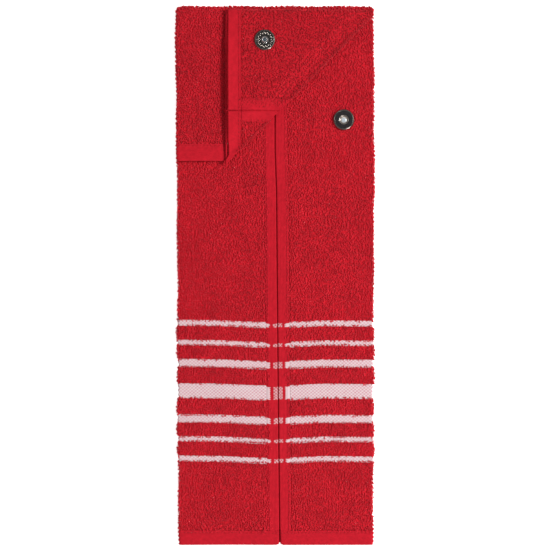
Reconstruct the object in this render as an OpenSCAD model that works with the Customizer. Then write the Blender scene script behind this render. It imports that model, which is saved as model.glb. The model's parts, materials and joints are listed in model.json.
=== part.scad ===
// Golf towel folded in three lengthways, with a top flap whose corner is folded
// back and holds the stud of a magnetic snap. The towel lies flat: +Z is up, +Y is
// towards the top fold, and the origin is under the middle of the folded towel.
// The cloth is one woven sheet. Its leaves are named pieces, parted at the folds.

/* [Folded towel] */
// Width of the towel when folded
folded_w = 172; // [160:1:190]
// Length from the top fold to the bottom edge
folded_l = 470; // [440:1:500]
// How far right of the middle the two side edges meet
seam_x = 2.5; // [0:0.5:5]
// Gap between the two side edges
seam_gap = 0.8; // [0.4:0.1:1.5]

/* [Cloth] */
// Thickness of one layer of terry, pile included
cloth_t = 2.4; // [2.2:0.1:2.8]
// Thickness of a turned hem
hem_t = 2.0; // [1.6:0.1:2]
// Thickness of the flat woven stripes
stripe_t = 1.4; // [1:0.1:1.6]
// Air between layers that move apart
body_gap = 0.3; // [0.3:0.05:0.5]

/* [Hems] */
// Width of the side hems, beside the seam
side_hem_w = 10; // [7:0.5:12]
// Width of the hem at the bottom edge
bottom_hem_w = 12.5; // [10:0.5:15]
// Width of the hem at the flap's edge
flap_hem_w = 15; // [12:0.5:16]
// Width of a line of stitching
thread_w = 0.7; // [0.4:0.1:1]

/* [Flap] */
// Depth of the flap, from the top fold to its edge
flap_l = 135; // [120:1:150]
// Width of the flap's edge that is left below the folded corner
strip_w = 41; // [35:1:48]

/* [Woven stripes] */
// Height of the widest stripe's middle above the bottom edge
stripe_mid = 134; // [120:1:150]
// Distances of the stripes from the widest one, on each side of it
stripe_offsets = [24.2, 42, 59.2];
// Widths of those stripes
stripe_widths = [6.5, 4, 4.4];
// Width of the widest stripe
stripe_mid_w = 12.3; // [8:0.1:14]

/* [Magnetic snap] */
// Diameter of each half of the snap
snap_d = 18; // [16:0.5:18]
// Distance of the socket in from the towel's side
socket_in = 26.3; // [24:0.1:32]
// Height of the socket above the flap's edge
socket_up = 36.3; // [32:0.5:42]
// Diameter of the stud's post
post_d = 5.4; // [4.5:0.1:5.6]
// Diameter of the hole in the socket
socket_bore_d = 7.8; // [7.4:0.1:8]

/* [Hidden] */
$fn = 48;

terry_red = "#c31f2c";
hem_red = "#c61a2d";
thread_red = "#a81526";
stripe_white = "#ead9dc";
nickel = "#c9c6c2";
gunmetal = "#6d6863";
magnet_black = "#1d1a1b";

half_w = folded_w / 2;
half_l = folded_l / 2;
bend_x = half_w - cloth_t;        // centre of the round side folds
edge_gap = body_gap / 2;          // each side of a fold that moves
hinge_z = 2 * cloth_t + edge_gap; // the top fold turns about this height
hinge_y = half_l - hinge_z;
fold_z = 2 * hinge_z + edge_gap;  // the corner turns about this height
flap_end_y = half_l - flap_l;
fold_c = flap_end_y + half_w - strip_w; // the diagonal is Y = X + fold_c
bottom_y = -half_l;
hem_top_y = bottom_y + bottom_hem_w;
column_end_y = hinge_y - edge_gap;

// The flap unfolded upwards, in line with the towel
flap_start_u = hinge_y + edge_gap;
flap_end_u = 2 * hinge_y - flap_end_y;
flap_hem_u = flap_end_u - flap_hem_w;

left_edge_x = seam_x - seam_gap / 2;
right_edge_x = seam_x + seam_gap / 2;
left_hem_x = left_edge_x - side_hem_w;
right_hem_x = right_edge_x + side_hem_w;

thread_t = 0.25;
thread_in = 1.6;                  // stitching from the hem's inner edge
stripe_out = (cloth_t + stripe_t) / 2;
stripe_in = (cloth_t - stripe_t) / 2;

seat_depth = 1.2;                 // how far a snap half presses into the pile
plate_t = 0.5;
washer_t = 0.5;
washer_d = 14;
prong_x = 4.6;
prong_w = 3.2;
prong_t = 0.5;
prong_foot = 2;
socket_h = 3.3;
rim_t = 0.8;
stud_h = 2;
post_h = 2.4;
relief_count = 24;
socket_x = half_w - socket_in;
socket_y = flap_end_y + socket_up;
stud_shift = 0.57;                // lets the tilted stud close over the socket
stud_x = socket_x + stud_shift;
stud_y = socket_y - stud_shift;
big = 600;

// ---- cloth: bands of the folded towel, r is the distance from the middle of the fold

module side_bend(r_out, r_in) {
    intersection() {
        difference() {
            circle(r_out);
            if (r_in > 0) circle(r_in);
        }
        translate([0, -r_out]) square([r_out, 2 * r_out]);
    }
}

module back_profile(r_out, r_in) {
    translate([-bend_x, cloth_t - r_out]) square([2 * bend_x, r_out - r_in]);
    translate([bend_x, cloth_t]) side_bend(r_out, r_in);
    translate([-bend_x, cloth_t]) mirror([1, 0]) side_bend(r_out, r_in);
}

module back_band(y0, y1, r_out, r_in = 0) {
    translate([0, y1, 0]) rotate([90, 0, 0]) linear_extrude(y1 - y0) back_profile(r_out, r_in);
}

module front_band(x0, x1, y0, y1, r_out, r_in = 0) {
    translate([x0, y0, cloth_t + r_in]) cube([x1 - x0, y1 - y0, r_out - r_in]);
}

module back_strip(x0, x1, y0, y1, r_out, r_in = 0) {
    translate([x0, y0, cloth_t - r_out]) cube([x1 - x0, y1 - y0, r_out - r_in]);
}

stripes = concat(
    [[stripe_mid, stripe_mid_w]],
    [for (side = [-1, 1]) for (i = [0:len(stripe_offsets) - 1])
        [stripe_mid + side * stripe_offsets[i], stripe_widths[i]]]
);
function stripe_low(s) = bottom_y + s[0] - s[1] / 2;
function stripe_high(s) = bottom_y + s[0] + s[1] / 2;

module stripe_slots() {
    for (s = stripes)
        translate([-half_w - 1, stripe_low(s), -1]) cube([folded_w + 2, s[1], 2 * cloth_t + 2]);
}

module stitched(x0, x1, y0, y1) {
    front_band(x0, x1, y0, y1, hem_t + thread_t, hem_t);
}

// ---- folding: the flap over the front, then its corner back along the diagonal

module fold_flap() {
    translate([0, hinge_y, hinge_z]) rotate([180, 0, 0])
        translate([0, -hinge_y, -hinge_z]) children();
}

module fold_corner() {
    translate([0, fold_c, fold_z]) rotate(a = 180, v = [1, 1, 0])
        translate([0, -fold_c, -fold_z]) children();
}

module beside_diagonal(y0) {
    translate([0, fold_c, 0]) rotate([0, 0, 45]) translate([-big / 2, y0, -big / 2]) cube(big);
}

module flap_part() {
    intersection() {
        beside_diagonal(edge_gap);
        fold_flap() children();
    }
}

module corner_flat() {
    intersection() {
        beside_diagonal(-big - edge_gap);
        fold_flap() children();
    }
}

module corner_part() {
    fold_corner() corner_flat() children();
}

// A round bend of cloth, from one layer over to the next
module half_tube(length, r_out, r_in) {
    rotate([90, 0, 90]) linear_extrude(length, center = true) side_bend(r_out, r_in);
}

// ---- magnetic snap: the cloth's face is at z 0 and the snap stands up from it

module socket_place() {
    translate([socket_x, socket_y, 2 * cloth_t]) children();
}

module stud_place() {
    translate([stud_x, stud_y, 2 * cloth_t + body_gap]) rotate([180, 0, 0]) children();
}

module snap_pocket() {
    translate([0, 0, -seat_depth]) cylinder(d = snap_d + 0.8, h = seat_depth + 1);
    translate([0, 0, -cloth_t - prong_t]) cylinder(d = washer_d + 0.4, h = prong_t + washer_t);
    prong_slots(-cloth_t, cloth_t);
}

module prong_slots(z0, h) {
    for (side = [-1, 1])
        translate([side * prong_x - prong_t / 2 - 0.1, -prong_w / 2 - 0.1, z0])
            cube([prong_t + 0.2, prong_w + 0.2, h]);
}

module snap_plate() {
    translate([0, 0, -seat_depth]) cylinder(d = snap_d - 0.6, h = plate_t);
    for (side = [-1, 1]) {
        translate([side * prong_x - prong_t / 2, -prong_w / 2, -cloth_t - prong_t])
            cube([prong_t, prong_w, cloth_t + prong_t - seat_depth]);
        translate([side * (prong_x + prong_foot / 2) - prong_foot / 2, -prong_w / 2, -cloth_t - prong_t])
            cube([prong_foot, prong_w, prong_t]);
    }
}

module snap_washer() {
    difference() {
        translate([0, 0, -cloth_t]) cylinder(d = washer_d, h = washer_t);
        translate([0, 0, -cloth_t - 1]) cylinder(d = 4, h = 3);
        prong_slots(-cloth_t - 1, 3);
    }
}

// ---- the towel's main column

module back_panel() {
    color(terry_red) difference() {
        back_band(hem_top_y, column_end_y, cloth_t);
        stripe_slots();
        socket_place() snap_pocket();
    }
}

module front_panel_left() {
    color(terry_red) difference() {
        front_band(-bend_x, left_hem_x, hem_top_y, column_end_y, cloth_t);
        stripe_slots();
    }
}

module front_panel_right() {
    color(terry_red) difference() {
        front_band(right_hem_x, bend_x, hem_top_y, column_end_y, cloth_t);
        stripe_slots();
        socket_place() snap_pocket();
    }
}

module side_hem_left() {
    color(hem_red) front_band(left_hem_x, left_edge_x, hem_top_y, column_end_y, hem_t);
}

module side_hem_right() {
    color(hem_red) front_band(right_edge_x, right_hem_x, hem_top_y, column_end_y, hem_t);
}

module bottom_hem_back() {
    color(hem_red) back_band(bottom_y, hem_top_y, hem_t);
}

module bottom_hem_left() {
    color(hem_red) front_band(-bend_x, left_edge_x, bottom_y, hem_top_y, hem_t);
}

module bottom_hem_right() {
    color(hem_red) front_band(right_edge_x, bend_x, bottom_y, hem_top_y, hem_t);
}

module stripes_back() {
    color(stripe_white) for (s = stripes)
        back_band(stripe_low(s), stripe_high(s), stripe_out, stripe_in);
}

module stripes_left() {
    color(stripe_white) for (s = stripes)
        front_band(-bend_x, left_hem_x, stripe_low(s), stripe_high(s), stripe_out, stripe_in);
}

module stripes_right() {
    color(stripe_white) for (s = stripes)
        front_band(right_hem_x, bend_x, stripe_low(s), stripe_high(s), stripe_out, stripe_in);
}

module top_fold() {
    color(terry_red) translate([0, hinge_y, hinge_z]) {
        half_tube(2 * bend_x, hinge_z, hinge_z - cloth_t);
        half_tube(2 * bend_x, hinge_z - cloth_t - 0.01, edge_gap);
    }
}

module side_hem_stitching() {
    color(thread_red) {
        x_left = left_hem_x + thread_in;
        x_right = right_hem_x - thread_in;
        stitched(x_left, x_left + thread_w, hem_top_y, column_end_y);
        stitched(x_right - thread_w, x_right, hem_top_y, column_end_y);
    }
}

module bottom_hem_stitching() {
    y0 = hem_top_y - thread_in - thread_w;
    y1 = hem_top_y - thread_in;
    color(thread_red) {
        stitched(-bend_x, left_edge_x, y0, y1);
        stitched(right_edge_x, bend_x, y0, y1);
        back_strip(-bend_x, bend_x, y0, y1, hem_t + thread_t, hem_t);
    }
}

// ---- the snap's socket, on the right front panel

module snap_socket_rim() {
    color(nickel) socket_place() translate([0, 0, plate_t - seat_depth])
        rotate_extrude() translate([snap_d / 2 - rim_t, 0]) polygon([
            [0, 0], [rim_t, 0], [rim_t, socket_h - plate_t - 0.4],
            [rim_t - 0.3, socket_h - plate_t], [0, socket_h - plate_t]
        ]);
}

module snap_socket_magnet() {
    color(magnet_black) socket_place() translate([0, 0, plate_t - seat_depth]) difference() {
        cylinder(d = snap_d - 2 * rim_t, h = socket_h - plate_t - 0.25);
        translate([0, 0, -1]) cylinder(d = socket_bore_d, h = socket_h + 2);
    }
}

module snap_socket_plate() {
    color(nickel) socket_place() {
        snap_plate();
        translate([0, 0, plate_t - seat_depth]) cylinder(d = socket_bore_d - 0.4, h = 0.4);
    }
}

module snap_socket_washer() {
    color(nickel) socket_place() snap_washer();
}

// ---- the flap, over the front

module flap_outer_sheet() {
    color(terry_red) flap_part() back_band(flap_start_u, flap_hem_u, cloth_t);
}

module flap_inner_sheet_left() {
    color(terry_red) flap_part()
        front_band(-bend_x, left_hem_x, flap_start_u, flap_hem_u, cloth_t);
}

module flap_inner_sheet_right() {
    color(terry_red) flap_part()
        front_band(right_hem_x, bend_x, flap_start_u, flap_hem_u, cloth_t);
}

module flap_side_hem_left() {
    color(hem_red) flap_part()
        front_band(left_hem_x, left_edge_x, flap_start_u, flap_hem_u, hem_t);
}

module flap_side_hem_right() {
    color(hem_red) flap_part()
        front_band(right_edge_x, right_hem_x, flap_start_u, flap_hem_u, hem_t);
}

module flap_end_hem_outer() {
    color(hem_red) flap_part() back_band(flap_hem_u, flap_end_u, hem_t);
}

module flap_end_hem_inner() {
    color(hem_red) flap_part() front_band(-bend_x, left_edge_x, flap_hem_u, flap_end_u, hem_t);
}

module end_stitching() {
    y0 = flap_hem_u + thread_in;
    y1 = y0 + thread_w;
    stitched(-bend_x, left_edge_x, y0, y1);
    stitched(right_edge_x, bend_x, y0, y1);
    back_strip(-bend_x, bend_x, y0, y1, hem_t + thread_t, hem_t);
}

module seam_stitching() {
    x_left = left_hem_x + thread_in;
    x_right = right_hem_x - thread_in;
    stitched(x_left, x_left + thread_w, flap_start_u, flap_hem_u);
    stitched(x_right - thread_w, x_right, flap_start_u, flap_hem_u);
}

module flap_hem_stitching() {
    color(thread_red) {
        flap_part() end_stitching();
        flap_part() seam_stitching();
    }
}

// The bend from the flap into its folded corner, cut level with the towel's side
module corner_fold() {
    length = sqrt(2) * (hinge_y - flap_end_y);
    mid_y = (hinge_y + flap_end_y) / 2;
    color(terry_red) intersection() {
        translate([mid_y - fold_c, mid_y, fold_z]) rotate([0, 0, 45]) mirror([0, 1, 0]) {
            half_tube(length, hinge_z, hinge_z - cloth_t);
            half_tube(length, hinge_z - cloth_t - 0.01, edge_gap);
        }
        translate([-half_w, flap_end_y, 0]) cube([folded_w, flap_l, 4 * fold_z]);
    }
}

// ---- the folded corner

module corner_outer_sheet() {
    color(terry_red) fold_corner() difference() {
        corner_flat() back_band(flap_start_u, flap_hem_u, cloth_t);
        stud_place() snap_pocket();
    }
}

module corner_inner_sheet_left() {
    color(terry_red) corner_part()
        front_band(-bend_x, left_hem_x, flap_start_u, flap_hem_u, cloth_t);
}

module corner_inner_sheet_right() {
    color(terry_red) fold_corner() difference() {
        corner_flat() front_band(right_hem_x, bend_x, flap_start_u, flap_hem_u, cloth_t);
        stud_place() snap_pocket();
    }
}

module corner_side_hem_left() {
    color(hem_red) corner_part()
        front_band(left_hem_x, left_edge_x, flap_start_u, flap_hem_u, hem_t);
}

module corner_side_hem_right() {
    color(hem_red) corner_part()
        front_band(right_edge_x, right_hem_x, flap_start_u, flap_hem_u, hem_t);
}

module corner_end_hem_outer() {
    color(hem_red) corner_part() back_band(flap_hem_u, flap_end_u, hem_t);
}

module corner_end_hem_left() {
    color(hem_red) corner_part() front_band(-bend_x, left_edge_x, flap_hem_u, flap_end_u, hem_t);
}

module corner_end_hem_right() {
    color(hem_red) corner_part() front_band(right_edge_x, bend_x, flap_hem_u, flap_end_u, hem_t);
}

module corner_hem_stitching() {
    color(thread_red) {
        corner_part() end_stitching();
        corner_part() seam_stitching();
    }
}

// ---- the snap's stud, on the folded corner

module stud_parts() {
    fold_corner() stud_place() children();
}

module snap_stud_cap() {
    base = plate_t - seat_depth;
    face = stud_h - seat_depth;
    color(gunmetal) stud_parts() {
        difference() {
            translate([0, 0, base]) cylinder(d = snap_d, h = face - base);
            translate([0, 0, face - 0.3]) cylinder(d = snap_d - 1.6, h = 1);
            translate([0, 0, base - 1]) cylinder(d = post_d, h = stud_h + 2);
        }
        for (i = [0:relief_count - 1]) rotate(i * 360 / relief_count)
            translate([snap_d / 2 - 3.6, -0.3, face - 0.4]) cube([2.2, 0.6, 0.3]);
    }
}

module snap_stud_post() {
    face = stud_h - seat_depth;
    color(nickel) stud_parts() {
        translate([0, 0, plate_t - seat_depth])
            cylinder(d = post_d - 0.02, h = stud_h - plate_t + post_h - 0.6);
        translate([0, 0, face + post_h - 0.6])
            cylinder(d1 = post_d - 0.02, d2 = post_d - 1.4, h = 0.6);
    }
}

module snap_stud_plate() {
    color(nickel) stud_parts() snap_plate();
}

module snap_stud_washer() {
    color(nickel) stud_parts() snap_washer();
}

back_panel();
front_panel_left();
front_panel_right();
side_hem_left();
side_hem_right();
bottom_hem_back();
bottom_hem_left();
bottom_hem_right();
stripes_back();
stripes_left();
stripes_right();
top_fold();
side_hem_stitching();
bottom_hem_stitching();
snap_socket_rim();
snap_socket_magnet();
snap_socket_plate();
snap_socket_washer();
flap_outer_sheet();
flap_inner_sheet_left();
flap_inner_sheet_right();
flap_side_hem_left();
flap_side_hem_right();
flap_end_hem_outer();
flap_end_hem_inner();
flap_hem_stitching();
corner_fold();
corner_outer_sheet();
corner_inner_sheet_left();
corner_inner_sheet_right();
corner_side_hem_left();
corner_side_hem_right();
corner_end_hem_outer();
corner_end_hem_left();
corner_end_hem_right();
corner_hem_stitching();
snap_stud_cap();
snap_stud_post();
snap_stud_plate();
snap_stud_washer();
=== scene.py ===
"""Looks of the folded golf towel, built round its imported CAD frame.

The cloth is worked out in millimetres and becomes metres when a mesh is made. It is laid out
unfolded first: s runs across it, round the side folds, and u runs along it, past the top fold.
fold() then turns the flap and its corner over, and settle() lets the towel lie as soft cloth does.
"""

import json
import math
from functools import partial

import bpy
import numpy as np
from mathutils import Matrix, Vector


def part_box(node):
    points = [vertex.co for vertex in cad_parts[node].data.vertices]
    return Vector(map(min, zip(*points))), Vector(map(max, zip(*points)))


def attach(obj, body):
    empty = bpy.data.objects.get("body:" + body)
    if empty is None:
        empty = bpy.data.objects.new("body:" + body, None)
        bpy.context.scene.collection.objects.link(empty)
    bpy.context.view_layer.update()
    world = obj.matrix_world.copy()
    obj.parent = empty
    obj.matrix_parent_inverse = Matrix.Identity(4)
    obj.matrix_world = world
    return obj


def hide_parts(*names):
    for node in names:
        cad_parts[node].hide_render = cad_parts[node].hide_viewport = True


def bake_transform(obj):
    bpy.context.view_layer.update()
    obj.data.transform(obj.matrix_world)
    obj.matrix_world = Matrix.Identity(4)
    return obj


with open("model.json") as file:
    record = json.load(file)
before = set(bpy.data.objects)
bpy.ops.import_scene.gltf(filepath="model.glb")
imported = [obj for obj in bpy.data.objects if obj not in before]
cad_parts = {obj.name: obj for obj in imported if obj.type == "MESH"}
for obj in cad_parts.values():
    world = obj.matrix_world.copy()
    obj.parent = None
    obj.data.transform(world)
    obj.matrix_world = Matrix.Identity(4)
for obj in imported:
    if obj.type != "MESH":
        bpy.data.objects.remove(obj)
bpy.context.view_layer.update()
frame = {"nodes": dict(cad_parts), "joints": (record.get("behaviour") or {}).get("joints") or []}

MM = 0.001
rng = np.random.default_rng(23)


# ---- sizes, from the frame, in millimetres

def span(node):
    """Lowest and highest corner of a CAD node."""
    low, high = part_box(node)
    return np.array(low) / MM, np.array(high) / MM


def stripe_rows():
    """Where each woven stripe starts and ends along the towel."""
    points = frame["nodes"]["stripes_left"].data.vertices
    ends = sorted({round(v.co.y / MM, 2) for v in points})
    return list(zip(ends[::2], ends[1::2]))


JOINT_AT = {j["name"]: np.array(j["pos_m"]) / MM for j in frame["joints"]}
HINGE_Y, HINGE_Z = JOINT_AT["flap_fold"][1:]
DIAG_C, FOLD_Z = JOINT_AT["corner_fold_back"][1:]
HALF_W = span("back_panel")[1][0]
TOP = HINGE_Y + HINGE_Z
BOTTOM = span("bottom_hem_back")[0][1]
HEM_TOP = span("bottom_hem_back")[1][1]
LAYER = span("side_hem_left")[0][2]
EDGE_GAP = HINGE_Z - 2 * LAYER
LEFT_HEM, LEFT_EDGE = span("side_hem_left")[0][0], span("side_hem_left")[1][0]
RIGHT_EDGE, RIGHT_HEM = span("side_hem_right")[0][0], span("side_hem_right")[1][0]
SEAM = (LEFT_EDGE + RIGHT_EDGE) / 2
FLAP_EDGE = span("flap_end_hem_outer")[0][1]
FLAP_HEM = span("flap_end_hem_outer")[1][1]
FLAP_EDGE_U = 2 * HINGE_Y - FLAP_EDGE
FLAP_HEM_U = 2 * HINGE_Y - FLAP_HEM
STRIPES = stripe_rows()
TIP_X = FLAP_EDGE - DIAG_C        # where the corner's edge meets the diagonal
BEND_X = HALF_W - LAYER
BEND_LENGTH = math.pi * LAYER
MID_BEND = BEND_X + BEND_LENGTH / 2
ACROSS = 2 * BEND_X + BEND_LENGTH
ROOT2 = math.sqrt(2)

# How deep each surface lies below the pile's tips, which are the CAD part's faces
GROUND_DEPTH = 1.35
BACKING_DEPTH = 2.25
HEM_DEPTH = 0.5
STRIPE_DEPTH = 0.95
SNAP_CLEAR = 8.3                  # pile keeps this far from the middle of a snap
FRINGE = 4.4                      # how far loose loops lie over a hem's inner edge
STRIPE_COVER = 1.05               # how far pile hangs over a stripe's lower edge
HEM_COVER = 4.5                   # how far pile lies over the right panel's hem on the folded corner
THINNING = 1.5                    # how fast loops thin out over a hem
CORNER_R = 5.0                    # radius of the towel's two top corners
PRESSED = 0.5                     # how far the diagonal fold stands out, against a round bend
FOLD_END = HALF_W - 0.9           # where the diagonal fold stops, at the towel's right side
FLOOR_PRESS = 0.5                 # cloth lower than this flattens, and never passes z = 0
STRIPE_WEAVE = (3.2, 2.7)         # spacing of the stripes' weave, across and along
RIB_HEIGHT = 0.09
RIB_SPACING = 1.25
GROUND_STEP = 2.0                 # spacing of the points of a terry ground
STRIPE_STEP = 0.55
FRONT_PITCH = (1.55, 1.75)        # spacing of pile loops, across and along
BACK_PITCH = (1.7, 1.9)
BEND_ROWS = 13                    # rows of points round a fold's half turn


def smooth(t):
    """A step from 0 to 1 with soft ends."""
    t = np.clip(t, 0, 1)
    return t * t * (3 - 2 * t)


# ---- from the unfolded cloth to where it lies

def s_on(leaf, x):
    """Place across the unfolded cloth of a point at x on the back or on a front panel."""
    return {"back": x, "left": -ACROSS - x, "right": ACROSS - x}[leaf]


def section(s, depth):
    """The folded-in-three cross-section: x, z, and how far round a side fold the cloth has turned."""
    side = np.where(s < 0, -1.0, 1.0)
    a = np.abs(s)
    turn = np.clip((a - BEND_X) / LAYER, 0, np.pi)
    past = np.clip(a - BEND_X - BEND_LENGTH, 0, None)
    r = LAYER - depth
    x = side * (np.minimum(a, BEND_X) - past + r * np.sin(turn))
    return x, LAYER - r * np.cos(turn), side, turn


def seam_at(u):
    """Where the seam between the front panels lies, which leans along the towel."""
    return np.interp(u, [BOTTOM, -83, 74, 110, HINGE_Y, 300], [3.75, 2.2, 0.85, -0.4, -0.5, -1.3])


def widen(x, u):
    """The towel narrows towards its bottom edge, and its seam leans a little."""
    y = np.minimum(u, 2 * HINGE_Y - u)
    left = np.interp(y, [BOTTOM, -100, 0, TOP], [-84.9, -86.0, -85.9, -87.5])
    right = np.interp(y, [BOTTOM, 0, 100, TOP], [85.8, 86.3, 87.1, 86.3])
    seam = seam_at(u)
    on_left = left + (x + HALF_W) * (seam - left) / (SEAM + HALF_W)
    on_right = seam + (x - SEAM) * (right - seam) / (HALF_W - SEAM)
    return np.where(x < SEAM, on_left, on_right)


def bow(x, u, z):
    """The front panels' weft sags towards the seam, so the stripes dip there."""
    left_rise, left_dip = 1.4, 2.4
    right_rise, right_dip, edge_dip = 0.45, 2.35, 0.5
    left = left_rise * np.clip((-2 - x) / 84, 0, 1) - left_dip * smooth((x + 54) / 46)
    right = right_rise - right_dip * smooth((44 - x) / 35) - edge_dip * smooth((x - 50) / 35)
    where = smooth((u - BOTTOM) / 45) * (1 - smooth((u + 30) / 90))
    return np.where(x < SEAM, left, right) * where * smooth((z - LAYER) / LAYER)


def lie(s, u, depth):
    """Points of the unfolded cloth with their normals and the directions across and along it."""
    s, u, depth = np.broadcast_arrays(np.asarray(s, float), u, depth)
    x, z, side, turn = section(s, depth)
    none = np.zeros_like(x)
    points = np.stack([widen(x, u), u + bow(x, u, z), z], -1)
    normals = np.stack([side * np.sin(turn), none, -np.cos(turn)], -1)
    across = np.stack([np.cos(turn), none, side * np.sin(turn)], -1)
    along = np.stack([none, none + 1, none], -1)
    return points, normals, across, along


def fold(body, points, *vectors):
    """Turns the flap over the top fold, then its corner back over the diagonal."""
    if body in ("flap", "corner"):
        points = points * [1, -1, -1] + [0, 2 * HINGE_Y, 2 * HINGE_Z]
        vectors = [v * [1, -1, -1] for v in vectors]
    if body == "corner":
        points = points[..., [1, 0, 2]] * [1, 1, -1] + [-DIAG_C, DIAG_C, 2 * FOLD_Z]
        vectors = [v[..., [1, 0, 2]] * [1, 1, -1] for v in vectors]
    return [points, *vectors]


def swell(x, y):
    """The cloth's slow rise and fall."""
    return (0.32 * np.sin(x / 17 + y / 41) + 0.26 * np.sin(y / 23 - x / 47 + 1)
            + 0.2 * np.sin(x / 9.5 + 2) * np.sin(y / 12.5))


def round_corner(x, y):
    """Rounds the folded towel's two top corners, seen from above."""
    side = np.clip(np.abs(x) - (HALF_W + 0.6 - CORNER_R), 0, None) / CORNER_R
    end = np.clip(y - (TOP + 0.6 - CORNER_R), 0, None) / CORNER_R
    pull = np.maximum(side, end) / np.maximum(np.hypot(side, end), 1e-9)
    pull = np.where((side > 0) & (end > 0), pull, 1.0)
    return x - np.sign(x) * side * (1 - pull) * CORNER_R, y - end * (1 - pull) * CORNER_R


def open_bottom(x, y, z):
    """The front panels part a little at the bottom edge, and the back shows between them."""
    open_end = smooth((HEM_TOP + 6 - y) / 17) * smooth((z - LAYER) / 1.5)
    off_seam = x - seam_at(y)
    x = x + 0.5 * open_end * np.sign(off_seam) * np.exp(-(off_seam / 6) ** 2)
    low = smooth((HEM_TOP - 3 - y) / 6)
    under = 1 - smooth((z - LAYER) / 1.5)
    y = y + low * under * (0.4 + 1.9 * np.exp(-(off_seam / 2.4) ** 2))
    y = y + low * (1 - under) * 0.9 * np.exp(-((np.abs(off_seam) - 0.9) / 0.8) ** 2)
    return x, y


def ease_turned(body, points, x, y, z):
    """Presses the cloth by the diagonal, and lets the free edge and tip of the corner lift."""
    press = 0.38
    edge_shift, upper_shift, tip_shift = 1.6, 2.3, 0.7
    tip_rise = 2.6
    from_fold = (y - x - DIAG_C) / ROOT2
    pressed = smooth(1 - from_fold / 16)
    z = z - press * pressed * np.clip(z - 6, 0, None)
    held = 1.0 if body == "corner" else smooth(1 - from_fold / 12)
    near_edge = np.clip((TIP_X + 15 - x) / 15, 0, 1)
    x = x + edge_shift * near_edge ** 1.3 * held
    if body == "corner":
        upper = smooth((points[..., 2] - 12.4) / 0.6)
        tip = smooth((122 - y) / 12)
        x = x + (upper_shift + tip_shift * tip) * upper * near_edge ** 2 * smooth(from_fold / 4)
        rise = tip_rise * smooth((y - 108) / 42) * (1 - 0.85 * smooth((y - 186) / 40))
        z = z + rise * np.clip((TIP_X + 24 - points[..., 0]) / 24, 0, 1) ** 2 * (0.7 + 0.3 * upper)
    return x, z


def settle(body, points):
    """Small shifts that take the stiffness out of the folded shape. A bend's body is "fold"."""
    x, y, z = np.moveaxis(points, -1, 0).copy()
    z = z + swell(x, y) * np.clip(z / (2 * LAYER), 0, 1)
    edge = np.clip(np.abs(x) / HALF_W, 0, 1) ** 4 * np.sign(x)
    rim = smooth((np.abs(x) - 79) / 5) * np.sign(x)
    x = x + edge * (0.35 * np.sin(y / 13 + np.sign(x)) + 0.2 * np.sin(y / 5.3))
    x = x + rim * 0.42 * np.sin(y * 1.62 + 1.1 * np.sin(y / 9.0) + np.sign(x))
    top_wave = (0.6 + 0.3 * np.sin(x / 7.0)
                + 0.3 * np.sin(x * 1.25 + 1.5 * np.sin(x / 8.0)))
    y = y + smooth((y - 228) / 6) * top_wave
    if body == "column":
        x, y = open_bottom(x, y, z)
    else:
        x, z = ease_turned(body, points, x, y, z)
    return np.stack([*round_corner(x, y), z], -1)


def place(body, s, u, depth):
    """Where a point of the unfolded cloth lies in the end, with its directions."""
    points, normals, across, along = fold(body, *lie(s, u, depth))
    return settle(body, points), normals, across, along


def place_top(s, angle, depth):
    """The top fold: the cross-section turned about the fold's line, from the column to the flap."""
    s, angle, depth = np.broadcast_arrays(np.asarray(s, float), angle, depth)
    x, z, side, turn = section(s, depth)
    r = HINGE_Z - z
    c, n = np.cos(angle), np.sin(angle)
    x = np.where(angle < np.pi / 2, widen(x, HINGE_Y - 0.01), widen(x, HINGE_Y))
    points = np.stack([x, HINGE_Y + r * n, HINGE_Z - r * c], -1)
    normals = np.stack([side * np.sin(turn), np.cos(turn) * n, -np.cos(turn) * c], -1)
    across = np.stack([np.cos(turn), -side * np.sin(turn) * n, side * np.sin(turn) * c], -1)
    along = np.stack([np.zeros_like(x), c, n], -1)
    return settle("fold", points), normals, across, along


def place_diagonal(x, angle, depth, leaf="front"):
    """The bend from the flap into its corner, where x is a place along the diagonal."""
    x, angle, depth = np.broadcast_arrays(np.asarray(x, float), angle, depth)
    out = 1.0 if leaf == "front" else -1.0
    r = HINGE_Z - depth if leaf == "front" else EDGE_GAP + depth
    c, n = np.cos(angle), np.sin(angle)
    drawn = widen(x, diagonal_x(x)) - x
    reach = PRESSED * r * n / ROOT2
    points = np.stack([x + drawn * (1 + c) / 2 + reach, x + DIAG_C + drawn * (1 - c) / 2 - reach,
                       FOLD_Z - r * c], -1)
    normals = out * np.stack([n / ROOT2, -n / ROOT2, -c], -1)
    across = np.broadcast_to(np.array([1, 1, 0]) / ROOT2, points.shape)
    along = np.stack([c / ROOT2, -c / ROOT2, n], -1)
    return settle("fold", points), normals, across, along


# ---- meshes

def add_object(name, data):
    """A new object in the scene."""
    obj = bpy.data.objects.new(name, data)
    bpy.context.scene.collection.objects.link(obj)
    return obj


def make_mesh(name, points, faces, values=None):
    """A smooth mesh of quads resting on z = 0, with an optional number at each point."""
    points = np.array(points, float)
    z = points[:, 2]
    points[:, 2] = np.where(z < FLOOR_PRESS, FLOOR_PRESS * np.exp((z - FLOOR_PRESS) / FLOOR_PRESS), z)
    mesh = bpy.data.meshes.new(name)
    mesh.vertices.add(len(points))
    mesh.vertices.foreach_set("co", (points * MM).astype(np.float32).ravel())
    mesh.loops.add(faces.size)
    mesh.loops.foreach_set("vertex_index", faces.astype(np.int32).ravel())
    mesh.polygons.add(len(faces))
    mesh.polygons.foreach_set("loop_start", np.arange(0, faces.size, 4, dtype=np.int32))
    mesh.update(calc_edges=True)
    mesh.shade_smooth()
    if values is not None:
        mesh.attributes.new("tint_and_shade", "FLOAT", "POINT").data.foreach_set(
            "value", np.asarray(values, np.float32))
    return add_object(name, mesh)


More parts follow.
